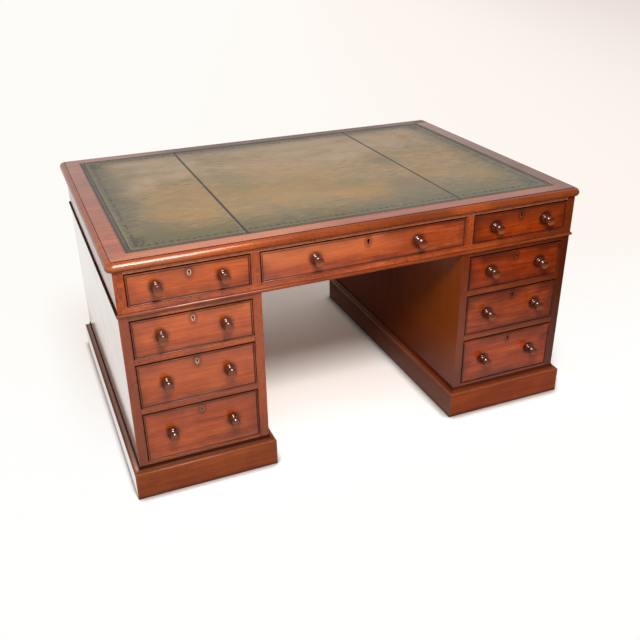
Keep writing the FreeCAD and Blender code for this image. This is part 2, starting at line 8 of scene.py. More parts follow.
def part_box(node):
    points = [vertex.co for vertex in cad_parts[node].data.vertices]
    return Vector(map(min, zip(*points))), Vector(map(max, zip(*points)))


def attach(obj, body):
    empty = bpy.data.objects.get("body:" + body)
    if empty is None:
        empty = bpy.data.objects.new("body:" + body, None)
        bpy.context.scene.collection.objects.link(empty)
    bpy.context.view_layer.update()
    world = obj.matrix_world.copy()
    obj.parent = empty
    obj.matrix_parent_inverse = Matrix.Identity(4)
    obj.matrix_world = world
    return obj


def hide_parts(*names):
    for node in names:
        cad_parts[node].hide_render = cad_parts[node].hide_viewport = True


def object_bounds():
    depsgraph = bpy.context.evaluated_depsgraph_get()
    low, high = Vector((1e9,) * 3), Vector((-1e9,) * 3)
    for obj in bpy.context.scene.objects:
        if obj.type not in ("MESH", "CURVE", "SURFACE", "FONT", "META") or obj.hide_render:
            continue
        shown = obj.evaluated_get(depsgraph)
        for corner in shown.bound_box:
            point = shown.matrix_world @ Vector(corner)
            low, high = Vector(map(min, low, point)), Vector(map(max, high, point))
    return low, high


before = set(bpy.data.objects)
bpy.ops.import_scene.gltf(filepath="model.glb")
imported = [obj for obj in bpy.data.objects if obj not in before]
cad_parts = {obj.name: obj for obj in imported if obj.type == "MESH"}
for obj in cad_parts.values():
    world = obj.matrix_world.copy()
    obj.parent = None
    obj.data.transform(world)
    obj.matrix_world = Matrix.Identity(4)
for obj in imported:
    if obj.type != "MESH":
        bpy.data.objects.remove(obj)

cad_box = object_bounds()


# Room, camera and light
# A pale studio: one wide paper floor that runs out of sight, a softbox over the camera, and the even light
# of white walls. A wide silk beside the softbox only shows as a shine. The camera stands where the
# photographer stood.

class Nodes:
    """The nodes of one material or world. Each method adds nodes and gives back their output."""

    def __init__(self, owner):
        owner.use_nodes = True
        self.owner = owner
        self.tree = owner.node_tree

    def feed(self, socket, value):
        """Links a socket to an output, or sets it to a constant. None leaves it as it is."""
        if isinstance(value, bpy.types.NodeSocket):
            self.tree.links.new(value, socket)
        elif value is not None:
            socket.default_value = value

    def add(self, kind, *values, **settings):
        """One node with its settings, its first sockets fed in order. Gives back the node itself."""
        node = self.tree.nodes.new(kind)
        for name, value in settings.items():
            setattr(node, name, value)
        for socket, value in zip(node.inputs, values):
            self.feed(socket, value)
        return node

    def math(self, operation, *values):
        return self.add("ShaderNodeMath", *values, operation=operation).outputs[0]

    def plus(self, base, value, weight):
        """The base with the weighted value added to it."""
        return self.math("MULTIPLY_ADD", value, weight, base)

    def all_of(self, share, *others):
        """The product of shares: one only where all of them are one."""
        for other in others:
            share = self.math("MULTIPLY", share, other)
        return share

    def any_of(self, share, *others):
        """The largest of shares: one where any of them is one."""
        for other in others:
            share = self.math("MAXIMUM", share, other)
        return share

    def between(self, value, low, high, start=0.0, end=1.0):
        """Runs smoothly from start to end while the value runs from low to high."""
        node = self.add("ShaderNodeMapRange", value, low, high, start, end, interpolation_type="SMOOTHSTEP")
        return node.outputs[0]

    def fading(self, value, low, high):
        """Runs smoothly from one down to zero while the value runs from low to high."""
        return self.between(value, low, high, 1.0, 0.0)

    def gap(self, value, middle=0.0):
        """Distance of one coordinate from a middle value, either side."""
        return self.math("ABSOLUTE", self.math("SUBTRACT", value, middle))

    def mix(self, share, below, above, blend="MIX"):
        """Two colours blended by a share. The numbers are where a mix node keeps its colour sockets."""
        node = self.add("ShaderNodeMix", share, data_type="RGBA", blend_type=blend)
        self.feed(node.inputs[6], below)
        self.feed(node.inputs[7], above)
        return node.outputs[2]

    def either(self, share, first, second):
        """One of two coordinates, the second where the share is one, by a mix node's vector sockets."""
        node = self.add("ShaderNodeMix", share, data_type="VECTOR")
        self.feed(node.inputs[4], first)
        self.feed(node.inputs[5], second)
        return node.outputs[1]


scene = bpy.context.scene
scene.view_settings.view_transform = "Standard"

camera_place = (-0.9629, -2.4777, 1.592)
camera_turn = math.radians(-22.292)
camera_drop = math.radians(27.648)
camera_roll = math.radians(-0.82)
camera = bpy.data.objects.new("camera", bpy.data.cameras.new("camera"))
scene.collection.objects.link(camera)
scene.camera = camera
camera.data.lens = 44.18
camera.matrix_world = (
    Matrix.Translation(camera_place)
    @ Matrix.Rotation(camera_turn, 4, "Z")
    @ Matrix.Rotation(math.pi / 2 - camera_drop, 4, "X")
    @ Matrix.Rotation(camera_roll, 4, "Z")
)

wall_light = 0.38
wall_colour = (1.0, 0.97, 0.94, 1.0)
wall_seen_behind = 1.0
wall_seen_in_front = 0.35
studio = Nodes(bpy.data.worlds.new("studio"))
scene.world = studio.owner
rays = studio.add("ShaderNodeLightPath")
seen = studio.any_of(rays.outputs["Is Glossy Ray"], rays.outputs["Is Transmission Ray"])
heading = studio.add("ShaderNodeSeparateXYZ", studio.add("ShaderNodeTexCoord").outputs["Generated"])
wall_seen = studio.between(heading.outputs["Y"], -0.5, 0.3, wall_seen_in_front, wall_seen_behind)
wall_extra = studio.math("SUBTRACT", wall_seen, wall_light)
wall = studio.plus(wall_light, seen, wall_extra)
backdrop = studio.tree.nodes["Background"]
backdrop.inputs["Color"].default_value = wall_colour
studio.feed(backdrop.inputs["Strength"], studio.any_of(wall, rays.outputs["Is Camera Ray"]))


def softbox(name, place, aim, width, height, watts):
    """A rectangular lamp at one place, turned towards another."""
    lamp = bpy.data.lights.new(name, "AREA")
    lamp.shape = "RECTANGLE"
    lamp.size = width
    lamp.size_y = height
    lamp.energy = watts
    lamp_object = bpy.data.objects.new(name, lamp)
    scene.collection.objects.link(lamp_object)
    facing = (Vector(aim) - Vector(place)).to_track_quat("-Z", "Y")
    lamp_object.matrix_world = Matrix.Translation(place) @ facing.to_matrix().to_4x4()
    return lamp_object


softbox("key softbox", (-0.5, -1.9, 2.25), (-0.1, -0.4, 0.5), width=0.55, height=0.55, watts=50.0)
silk = softbox("silk", (-0.35, -1.55, 2.9), (-0.1, -0.5, 0.6), width=1.0, height=1.5, watts=130.0)
silk.data.color = (1.0, 0.93, 0.83)
silk.visible_diffuse = False

floor_half = 40.0
floor_mesh = bpy.data.meshes.new("floor")
floor_shape = bmesh.new()
bmesh.ops.create_grid(floor_shape, x_segments=1, y_segments=1, size=floor_half)
floor_shape.to_mesh(floor_mesh)
floor_shape.free()
floor = bpy.data.objects.new("floor", floor_mesh)
scene.collection.objects.link(floor)

paper_colour = (0.93, 0.925, 0.92, 1.0)
paper_in_camera = (1.54, 1.50, 1.46, 1.0)
paper_in_shade = (1.60, 1.44, 1.33, 1.0)
paper_near = (1.0, 1.0, 0.99, 1.0)
paper_behind = (0.99, 0.97, 0.935, 1.0)
paper_far_off = (0.99, 0.92, 0.865, 1.0)
paper_unlit = (0.81, 0.725, 0.68, 1.0)
paper_wood_bounce = (0.83, 0.71, 0.64, 1.0)
desk_end = cad_box[1][0]
paper = Nodes(bpy.data.materials.new("white paper"))
floor_mesh.materials.append(paper.owner)
paper_place = paper.add("ShaderNodeTexCoord").outputs["Object"]
floor_x, floor_y = paper.add("ShaderNodeSeparateXYZ", paper_place).outputs[:2]
past_left = paper.math("SUBTRACT", -desk_end, floor_x)
rays = paper.add("ShaderNodeLightPath")
by_camera = rays.outputs["Is Camera Ray"]
by_polish = rays.outputs["Is Glossy Ray"]

# Near the desk the paper is matt and keeps the shadow. In the kneehole the camera sees it warmer, a painted
# bounce of light from the wood, and where the desk closes it in it is darker, a painted contact shadow. The
# polish mirrors less of it to the front right.
to_front_right = paper.plus(paper.plus(-0.3, floor_y, -0.6), floor_x, 0.8)
kneehole_shade = paper.all_of(
    paper.fading(paper.gap(floor_x), 0.24, 0.34),
    paper.between(floor_y, -0.50, 0.05, 0.0, 0.80),
)
mirrored = paper.all_of(
    paper.between(to_front_right, 0.5, 1.8, 0.95, 0.02),
    paper.math("SUBTRACT", 1.0, kneehole_shade),
)
openness = paper.add("ShaderNodeAmbientOcclusion", None, 0.04, samples=8).outputs["AO"]
openness = paper.any_of(openness, paper.between(past_left, -0.0035, 0.0015))
seen_white = paper.mix(kneehole_shade, paper_in_camera, paper_in_shade)
seen_white = paper.mix(1.0, seen_white, paper.between(openness, 0.5, 1.0, 0.30, 1.0), "MULTIPLY")
white = paper.mix(by_camera, paper_colour, seen_white)
white = paper.mix(by_polish, white, paper.mix(1.0, paper_colour, mirrored, "MULTIPLY"))
matt = paper.add("ShaderNodeBsdfDiffuse", white)

# Clear of the desk the paper shines evenly, with tints set for the camera's view: warmer to the far right,
# and beside the desk's left end warmer still, as painted bounce light from the wood.
right_of_desk = paper.between(floor_x, 0.80, 1.05)
in_front = paper.between(floor_y, -0.54, -0.75)
far_behind = paper.between(floor_y, 0.85, 1.9)
behind_left = paper.all_of(paper.between(floor_x, -0.2, -0.4), paper.between(floor_y, 0.52, 0.56))
left_of_desk = paper.between(past_left, -0.0015, 0.0185)
left_mirrored = paper.all_of(paper.between(past_left, 0.0003, 0.0030), by_polish)
clear = paper.any_of(right_of_desk, in_front, far_behind, behind_left, left_of_desk)
clear = paper.any_of(paper.all_of(clear, by_camera), left_mirrored)
to_far_right = paper.plus(floor_x, floor_y, -0.35)
far_right = paper.all_of(paper.between(to_far_right, -1.5, 2.5), paper.between(floor_y, -0.6, 0.8))
bounce_by_left_side = paper.all_of(
    paper.between(floor_x, -0.98, -0.72),
    paper.between(floor_y, -0.45, 0.45, 0.0, 0.6),
    paper.fading(floor_y, 0.6, 1.3),
    paper.between(floor_x, -0.4, -0.6),
)
far_away = paper.add("ShaderNodeVectorMath", paper_place, operation="LENGTH").outputs["Value"]
shine = paper.mix(paper.between(floor_y, -0.8, 1.6), paper_near, paper_behind)
shine = paper.mix(far_right, shine, paper_far_off)
shine = paper.mix(paper.between(to_far_right, 1.5, 8.0), shine, paper_unlit)
shine = paper.mix(bounce_by_left_side, shine, paper_wood_bounce)
shine = paper.mix(paper.between(far_away, 18.0, 30.0), shine, wall_colour)
glow = paper.add("ShaderNodeEmission", shine, 1.0)
blend = paper.add("ShaderNodeMixShader", clear, matt.outputs[0], glow.outputs[0])
paper.feed(paper.tree.nodes["Material Output"].inputs["Surface"], blend.outputs[0])


# Top boards
# Four mahogany boards glued edge to edge, with a thumb moulding worked round them, French polished. Dust and
# old wax fill the quirk of the moulding. Its nose is darker in the middle and paler at the left, as it looks
# in the photo.

def ease_edges(name, radius):
    """Rounds a CAD piece's sharp arrises, as sandpaper and years of handling do."""
    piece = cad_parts[name]
    seams = piece.modifiers.new("closed seams", "WELD")
    seams.merge_threshold = 0.00002
    arrises = piece.modifiers.new("eased arrises", "BEVEL")
    arrises.width = radius
    arrises.segments = 2
    arrises.limit_method = "ANGLE"
    arrises.angle_limit = math.radians(40)


# The dark of old wax and dirt. stain also uses it as painted shade, under and between parts.
wax_and_shade_dark = (0.04, 0.006, 0.0015)


class Finish(Nodes):
    """The material of one piece in the desk's own coordinates: colour, roughness, gloss and dirt."""

    def __init__(self, name):
        super().__init__(bpy.data.materials.new(name))
        self.shader = self.tree.nodes["Principled BSDF"]
        self.place = self.add("ShaderNodeTexCoord").outputs["Object"]
        self.x, self.y, self.z = self.add("ShaderNodeSeparateXYZ", self.place).outputs
        self.gloss = 0.5

    def stretched(self, along, squeeze, seed):
        """Coordinates squeezed along the grain, so that a noise on them is drawn out into streaks."""
        scale = [1.0, 1.0, 1.0]
        scale["XYZ".index(along)] = squeeze
        shift = (0.37 * seed, 0.61 * seed, 0.83 * seed)
        return self.add("ShaderNodeMapping", self.place, shift, None, scale).outputs[0]

    def noise(self, place, scale, detail=2.0, distortion=0.0):
        node = self.add("ShaderNodeTexNoise", place)
        node.inputs["Scale"].default_value = scale
        node.inputs["Detail"].default_value = detail
        node.inputs["Distortion"].default_value = distortion
        return node.outputs[0]

    def ramp(self, value, *stops):
        node = self.add("ShaderNodeValToRGB", value)
        points = node.color_ramp.elements
        while len(points) < len(stops):
            points.new(0.5)
        for point, (position, colour) in zip(points, stops):
            point.position = position
            point.color = (*colour, 1.0)
        return node.outputs[0]

    def inset(self, value, half, middle=0.0):
        """Distance inside an edge that lies half a width from the middle, either side."""
        return self.math("SUBTRACT", half, self.gap(value, middle))

    def radius(self, across, up):
        """Distance within an upright face, from the distances across it and up it."""
        offset = self.add("ShaderNodeCombineXYZ", across, 0.0, up).outputs[0]
        return self.add("ShaderNodeVectorMath", offset, operation="LENGTH").outputs["Value"]

    def line(self, value, middle, width):
        """One on a line, fading out on both sides of it."""
        return self.fading(self.gap(value, middle), 0.4 * width, 0.8 * width)

    def stain(self, share, strength, tint=wax_and_shade_dark, dull=0.0):
        """Works a tint into the colour where the share is one, and takes off some of the gloss."""
        share = self.math("MULTIPLY", share, strength)
        self.colour = self.mix(share, self.colour, (*tint, 1.0))
        if dull:
            self.gloss = self.all_of(self.gloss, self.plus(1.0, share, -dull))
            self.roughness = self.plus(self.roughness, share, 0.5 * dull)

    def emboss(self, height, strength, distance):
        bump = self.add("ShaderNodeBump")
        bump.inputs["Strength"].default_value = strength
        bump.inputs["Distance"].default_value = distance
        self.feed(bump.inputs["Height"], height)
        self.feed(self.shader.inputs["Normal"], bump.outputs[0])

    def dress(self, piece):
        """Hands colour, roughness and gloss to the shader and puts the material on the piece."""
        self.feed(self.shader.inputs["Base Color"], self.colour)
        self.feed(self.shader.inputs["Roughness"], self.roughness)
        self.feed(self.shader.inputs["Specular IOR Level"], self.gloss)
        if not piece.material_slots:
            piece.data.materials.append(self.owner)
        for holder in piece.material_slots:
            holder.material = self.owner


class Mahogany(Finish):
    """Polished mahogany: broad streaks, ribbon stripe, pores and a cross mottle, under a clear gloss.

    The grain runs along one axis, or across it where turned gives one. Depth is the figure's contrast.
    """

    def __init__(self, name, along, seed, tone=(1.0, 1.0, 1.0), across=None, turned=None, depth=0.8):
        super().__init__(name)
        squeezes = (0.08, 0.05, 2.2)
        lays = [self.stretched(along, squeeze, seed) for squeeze in squeezes]
        if across is not None:
            share = turned(self)
            crossed = [self.stretched(across, squeeze, seed) for squeeze in squeezes]
            lays = [self.either(share, *pair) for pair in zip(lays, crossed)]
        broad = self.noise(lays[0], 17.0, 3.0, 0.8)
        ribbon = self.noise(lays[0], 65.0, 3.0, 0.4)
        grain = self.noise(lays[1], 190.0, 3.0)
        fine = self.noise(lays[1], 520.0, 2.0)
        pore = self.between(self.noise(lays[1], 1500.0, 1.0), 0.56, 0.70)
        mottle = self.noise(lays[2], 7.0, 2.0, 0.5)
        figure = self.math("MULTIPLY", broad, 0.50)
        for layer, weight in ((ribbon, 0.40), (grain, 0.40), (fine, 0.22), (mottle, 0.22), (pore, -0.14)):
            figure = self.plus(figure, layer, weight)
        middle = 0.87
        figure = self.plus(middle * (1.0 - depth), figure, depth)
        stops = (
            (0.62, (0.130, 0.016, 0.0025)),
            (0.80, (0.300, 0.045, 0.0060)),
            (0.93, (0.430, 0.074, 0.0100)),
            (1.00, (0.520, 0.108, 0.0170)),
        )
        stops = [(at, [part * share for part, share in zip(colour, tone)]) for at, colour in stops]
        self.colour = self.ramp(figure, *stops)
        self.smudge = self.noise(self.place, 9.0, 3.0)
        self.roughness = self.between(self.smudge, 0.35, 0.75, 0.10, 0.18)
        self.relief = fine

    def dings(self, share, strength):
        """Small knocks and specks of grime, scattered where the share is one."""
        specks = self.between(self.noise(self.place, 150.0, 3.0), 0.53, 0.65)
        self.stain(self.all_of(specks, share), strength, (0.08, 0.026, 0.010))

    def varnish(self, share):
        """A clear coat that mirrors the room where the share is one."""
        self.feed(self.shader.inputs["Coat Weight"], share)
        self.shader.inputs["Coat Roughness"].default_value = 0.12

    def dress(self, piece):
        self.emboss(self.relief, 0.06, 0.0002)
        super().dress(piece)


quirk_in = 0.018
quirk_width = 0.0022
crest_drop = 0.011
top_low, top_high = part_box("top_boards")
hide_half_x, hide_half_y, hide_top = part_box("leather_panels")[1]
ease_edges("top_boards", 0.0004)
top = Mahogany("top boards", "X", 3, (0.95, 0.97, 1.0), depth=0.7)
from_edge = top.math("MINIMUM", top.inset(top.x, top_high[0]), top.inset(top.y, top_high[1]))
inside_hide = top.math("MINIMUM", top.inset(top.x, hide_half_x), top.inset(top.y, hide_half_y))
quirk = top.line(from_edge, quirk_in, quirk_width)
inside_quirk = top.between(from_edge, quirk_in, quirk_in + 0.003)
nose = top.fading(from_edge, quirk_in - 0.0030, quirk_in - 0.0015)
highlight_band = top.fading(top.gap(top.z, top_high[2] - crest_drop), 0.002, 0.006)
# The underside of the top is painted darker, as shade.
underside_shade = top.fading(top.z, top_low[2] + 0.001, top_low[2] + 0.009)
beside_hide = top.between(inside_hide, -0.007, -0.002)
along_front = top.all_of(top.between(top.y, -0.44, -0.47), inside_quirk)
bleached = top.all_of(along_front, top.fading(top.gap(top.x, -0.42), 0.12, 0.45))
nose_dark = top.all_of(
    nose,
    top.between(top.x, -0.42, -0.20),
    top.between(top.gap(top.x, 0.22), 0.08, 0.30, 1.25, 0.80),
    top.between(top.gap(top.x, 0.35), 0.03, 0.10, 0.15, 1.0),
)
# Along the crest of the nose at the left end, a pale band is a painted highlight.
nose_painted_highlight = top.all_of(nose, highlight_band, top.between(top.x, -0.40, -0.60))
knocked = top.all_of(nose, top.between(top.x, -0.62, -0.35, 0.3, 1.0))
beyond_hide = top.between(top.x, hide_half_x - 0.0035, hide_half_x + 0.0065)
before_hide = top.between(top.y, -hide_half_y + 0.0075, -hide_half_y - 0.0055)
round_corner = top.math("SUBTRACT", top.between(top.x, 0.60, 0.75), beyond_hide)
beyond_hide = top.plus(beyond_hide, before_hide, round_corner)
# The right end of the border is painted darker, as shade.
right_end_shade = top.all_of(beyond_hide, top.between(top.y, -0.1, 0.4, 1.0, 0.45), inside_quirk)
behind_hide = top.between(top.y, hide_half_y - 0.0025, hide_half_y + 0.0075)
back = top.all_of(behind_hide, top.between(top.x, -0.55, -0.30))
top.stain(bleached, 0.40, (0.74, 0.25, 0.110))
top.stain(nose, 0.40, (0.42, 0.080, 0.010))
top.stain(nose_dark, 0.60, (0.13, 0.022, 0.003))
top.stain(nose_painted_highlight, 0.45, (0.34, 0.19, 0.105))
top.dings(knocked, 0.55)
top.dings(along_front, 0.25)
top.stain(right_end_shade, 0.66, (0.070, 0.028, 0.010), 0.35)
top.stain(back, 0.75, (0.06, 0.026, 0.016), 0.5)
top.stain(beside_hide, 0.75, (0.05, 0.022, 0.012), 0.6)
top.gloss = top.all_of(top.gloss, top.plus(1.0, nose, -0.50))
top.roughness = top.plus(top.roughness, nose, 0.08)
top.stain(quirk, 0.85, dull=0.6)
top.stain(underside_shade, 0.6)
top.dress(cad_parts["top_boards"])


# Leather panels
# Three hides laid side by side in the recess of the top and pasted down. The hide is dyed green, then rubbed
# back so that the middle is tan, with a tooled border round the outside and a tooled line at each join.

hide_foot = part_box("leather_panels")[0][2]
hide_seam_x = 0.3525
hide_seam_gap = 0.0003
groove_depth = 0.00025
groove_edges = ((0.0112, 0.0124), (0.0142, 0.0150))
groove_middles = [sum(groove_dirt_and_shade) / 2 for groove_dirt_and_shade in groove_edges]
cut_tolerance = 1e-6
groove_tolerance = 1e-5


def hide(name, x_from, x_to):
    """One hide as a grid, with the tooled lines pressed into it, and its thickness below."""
    shape = bmesh.new()
    middle = ((x_from + x_to) / 2, 0.0, hide_top)
    size = (x_to - x_from, 2 * hide_half_y, 1.0)
    bmesh.ops.create_grid(shape, x_segments=8, y_segments=16, size=0.5)
    bmesh.ops.scale(shape, vec=size, verts=shape.verts)
    bmesh.ops.translate(shape, vec=middle, verts=shape.verts)
    cuts = [edge for groove_dirt_and_shade in groove_edges for edge in groove_dirt_and_shade]
    for inwards in cuts + groove_middles:
        for side in (-1, 1):
            for normal, place in (((1, 0, 0), hide_half_x - inwards), ((0, 1, 0), hide_half_y - inwards)):
                bmesh.ops.bisect_plane(
                    shape,
                    geom=shape.verts[:] + shape.edges[:] + shape.faces[:],
                    dist=cut_tolerance,
                    plane_co=Vector(normal) * side * place,
                    plane_no=normal,
                )
    for vert in shape.verts:
        inwards = min(hide_half_x - abs(vert.co.x), hide_half_y - abs(vert.co.y))
        if any(abs(inwards - pressed) < groove_tolerance for pressed in groove_middles):
            vert.co.z -= groove_depth
    mesh = bpy.data.meshes.new(name)
    shape.to_mesh(mesh)
    shape.free()
    piece = bpy.data.objects.new(name, mesh)
    scene.collection.objects.link(piece)
    thickness = piece.modifiers.new("thickness", "SOLIDIFY")
    thickness.thickness = hide_top - hide_foot
    thickness.offset = -1.0
    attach(piece, "desk")
    return piece


seam_in = hide_seam_x - hide_seam_gap
seam_out = hide_seam_x + hide_seam_gap
hides = [
    hide("left_hide", -hide_half_x, -seam_out),
    hide("centre_hide", -seam_in, seam_in),
    hide("right_hide", seam_out, hide_half_x),
]
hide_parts("leather_panels")

leather = Finish("tooled leather")
in_from_end = leather.inset(leather.x, hide_half_x)
in_from_front = leather.inset(leather.y, hide_half_y)
inwards = leather.math("MINIMUM", in_from_end, in_from_front)
on_end = leather.math("LESS_THAN", in_from_end, in_from_front)
along_edge = leather.add("ShaderNodeMix", on_end, data_type="FLOAT")
leather.feed(along_edge.inputs[2], leather.x)
leather.feed(along_edge.inputs[3], leather.y)


def tooled_row(middle, width, pitch):
    """A row of small lozenges pressed along the border, at one distance in from the edge."""
    step = leather.math("PINGPONG", along_edge.outputs[0], pitch / 2)
    along = leather.math("DIVIDE", step, pitch / 2)
    off = leather.math("DIVIDE", leather.gap(inwards, middle), width / 2)
    return leather.fading(leather.math("ADD", along, off), 0.75, 1.05)


# The dye is worn back to tan in the middle and stays green towards the edges, widest along the front.
clouds = leather.noise(leather.stretched("X", 0.8, 2), 4.0, 3.0, 0.4)
rubs = leather.noise(leather.stretched("X", 0.16, 5), 48.0, 5.0, 0.3)
scuffs = leather.noise(leather.stretched("X", 0.12, 8), 210.0, 3.0)
patches = leather.noise(leather.stretched("X", 0.8, 11), 5.5, 3.0, 0.3)
greens = leather.noise(leather.stretched("X", 0.6, 14), 9.0, 3.0, 0.5)
pebble = leather.noise(leather.place, 1100.0, 2.0)
in_from_back = leather.math("SUBTRACT", hide_half_y, leather.y)
in_from_viewer = leather.math("ADD", hide_half_y, leather.y)
in_from_lit_end = leather.plus(in_from_end, leather.x, 0.02)
wander = leather.plus(-0.06, clouds, 0.12)
arm_reach = leather.between(leather.gap(leather.x), 0.05, 0.42, 0.23, 0.30)
worn = leather.all_of(*(
    leather.between(leather.math("ADD", distance, wander), 0.02, reach)
    for distance, reach in ((in_from_lit_end, 0.16), (in_from_viewer, arm_reach), (in_from_back, 0.10))
))
hue = leather.plus(leather.plus(-1.715, scuffs, 2.35), rubs, 0.75)
hue = leather.plus(leather.plus(hue, clouds, 0.55), worn, 0.70)
leather.colour = leather.ramp(
    hue,
    (0.0, (0.122, 0.100, 0.062)),
    (0.35, (0.178, 0.142, 0.080)),
    (0.65, (0.300, 0.200, 0.098)),
    (1.0, (0.430, 0.270, 0.124)),
)
leather.gloss = 0.25
leather.roughness = leather.between(clouds, 0.3, 0.7, 0.36, 0.46)
drift = leather.plus(leather.plus(-0.55, leather.y, 0.9), patches, 1.1)
mauve = leather.all_of(leather.between(drift, 0.05, 0.30), worn)
ochre = leather.all_of(leather.between(drift, 0.0, -0.30), worn)
pale = leather.all_of(
    leather.fading(leather.gap(leather.x, -0.03), 0.05, 0.25),
    leather.fading(leather.gap(leather.y, 0.12), 0.05, 0.25),
)
leather.stain(mauve, 0.66, (0.540, 0.370, 0.250))
leather.stain(ochre, 0.62, (0.375, 0.205, 0.062))
leather.stain(leather.between(greens, 0.44, 0.74), 0.48, (0.195, 0.175, 0.082))
leather.stain(pale, 0.42, (0.520, 0.320, 0.160))
thumb_marks = ((0.27, -0.24, 0.15), (-0.57, -0.33, 0.14), (0.32, 0.05, 0.10))
for mark_x, mark_y, mark_reach in thumb_marks:
    mark = (mark_x, mark_y, hide_top)
    away = leather.add("ShaderNodeVectorMath", leather.place, mark, operation="DISTANCE").outputs["Value"]
    thumbed = leather.fading(leather.plus(away, wander, 1.5), 0.0, mark_reach)
    leather.stain(thumbed, 0.70, (0.150, 0.122, 0.062))
near_arms = leather.all_of(
    leather.fading(in_from_viewer, 0.02, 0.20),
    leather.between(leather.x, 0.1, -0.1, 0.6, 1.0),
)
leather.stain(near_arms, 0.48, (0.075, 0.062, 0.012))

# The tooled border: a dark band of links between lines, a faint gilt line, then sprigs and corner clusters.
kept = leather.between(leather.noise(leather.place, 14.0, 3.0), 0.30, 0.60, 0.6, 1.0)
broken = leather.between(leather.noise(leather.place, 70.0, 2.0), 0.38, 0.54)
crumbled = leather.between(leather.noise(leather.place, 120.0, 2.0), 0.42, 0.55)
band = leather.all_of(leather.fading(inwards, 0.0118, 0.0126), kept)
links = leather.plus(0.85, tooled_row(middle=0.0068, width=0.0100, pitch=0.0130), -0.55)
edge_line = leather.line(inwards, 0.0012, 0.0030)
inner_line = leather.line(inwards, 0.0130, 0.0032)
gilt = leather.line(inwards, 0.0175, 0.0034)
sprigs = leather.all_of(tooled_row(middle=0.0340, width=0.018, pitch=0.021), broken)
corners = leather.all_of(
    leather.line(in_from_end, 0.047, 0.030),
    leather.between(in_from_front, 0.03, 0.04),
    leather.fading(in_from_front, 0.08, 0.12),
    crumbled,
)
joins = leather.line(leather.gap(leather.x), hide_seam_x, 0.0076)
beside_join = leather.line(leather.gap(leather.x), hide_seam_x + 0.0062, 0.0030)
ink = (0.018, 0.017, 0.012)
leather.stain(band, links, ink)
leather.stain(gilt, 0.42, (0.250, 0.215, 0.135))
leather.stain(inner_line, 0.80, ink)
leather.stain(sprigs, 0.80, ink)
leather.stain(corners, 0.75, ink)
leather.stain(beside_join, 0.30, (0.36, 0.28, 0.14))
leather.stain(joins, 0.94, (0.026, 0.016, 0.008))
leather.stain(edge_line, 0.92, (0.006, 0.005, 0.004))
leather.emboss(leather.math("SUBTRACT", pebble, sprigs), 0.25, 0.0003)
for piece in hides:
    leather.dress(piece)


# Frieze
# The frame under the top: end boards, and rails tenoned into them with upright dividers between the drawers.
# Rails run along the desk, the dividers stand, and the ends run from front to back. A half-round bead is
# planted along the foot.

opening_foot = 0.640
opening_head = 0.738
hairline = 0.0002
shadow_dark = (0.018, 0.004, 0.0015)
frieze_end, frieze_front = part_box("frieze_rails")[1][:2]


def between_rails(wood):
    """One on the upright dividers, between the lower and the upper rails."""
    above = wood.math("GREATER_THAN", wood.z, opening_foot + hairline)
    below = wood.math("LESS_THAN", wood.z, opening_head - hairline)
    return wood.all_of(above, below)


ease_edges("frieze_rails", 0.0008)
rails = Mahogany("frieze rails", "X", 7, (1.02, 1.08, 1.7), "Z", between_rails)
behind_face = rails.between(rails.inset(rails.y, frieze_front), 0.0008, 0.0022)
shaded = rails.all_of(rails.between(rails.x, 0.42, 0.72), rails.math("LESS_THAN", rails.y, 0.0))
left_divider = rails.all_of(between_rails(rails), rails.fading(rails.gap(rails.x, -0.356), 0.03, 0.05))
# The upper rail under the overhang of the top is painted lighter, as light.
upper_rail_lit = rails.between(rails.z, opening_head - hairline, opening_head + 2 * hairline)
rails.stain(behind_face, 0.93, shadow_dark, 0.8)
rails.stain(shaded, 0.50, (0.09, 0.013, 0.003))
rails.stain(left_divider, 0.35, (0.15, 0.030, 0.006))
rails.stain(upper_rail_lit, 0.55, (0.64, 0.21, 0.095))
rails.dings(1.0, 0.55)
rails.dress(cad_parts["frieze_rails"])

ease_edges("frieze_ends", 0.0010)
ends = Mahogany("frieze ends", "Y", 9)
ends.gloss = 0.34
ends_show = ends.fading(ends.y, -frieze_front + 0.0005, -frieze_front + 0.003)
# The front edges of the ends are painted darker, a little at the left and much more at the right, as shade.
ends.stain(ends.all_of(ends_show, ends.between(ends.x, -0.60, -0.72)), 0.10, (0.10, 0.018, 0.004))
ends.stain(ends.all_of(ends_show, ends.between(ends.x, 0.60, 0.72)), 0.72, (0.10, 0.013, 0.002))
ends.dings(ends_show, 0.60)
ends.dress(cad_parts["frieze_ends"])

bead_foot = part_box("frieze_bead")[0][2]
bead_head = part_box("frieze_bead")[1][2]
ease_edges("frieze_bead", 0.0004)
bead = Mahogany("frieze bead", "X", 11, (0.75, 0.75, 0.75))
bead.gloss = bead.between(bead.x, -0.40, -0.65, 0.18, 0.50)
bead.roughness = bead.math("ADD", bead.roughness, bead.between(bead.x, -0.40, -0.65, 0.12, 0.04))
past_frieze_end = bead.between(bead.gap(bead.x), frieze_end - 0.001, frieze_end)
short_of_front = bead.between(bead.y, -frieze_front - 0.001, -frieze_front + 0.002)
# The bead is painted dark along its top and its foot, as shade in the creases where it meets the frieze and
# pedestals.
bead.stain(bead.between(bead.z, bead_head - 0.003, bead_head), 0.8, dull=0.7)
bead.stain(bead.fading(bead.z, bead_foot, bead_foot + 0.003), 0.8, dull=0.7)
bead.stain(bead.all_of(past_frieze_end, short_of_front), 0.85, (0.03, 0.008, 0.003), 0.9)
bead.dress(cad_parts["frieze_bead"])


# Pedestals
# Two carcasses of upright mahogany side boards with rails tenoned between them, showing as stiles and rails
# round the drawers. The outer faces mirror the floor. Light and shade seen in the photo are painted in: pale
# feet, a glow in the kneehole, and a darker right pedestal.

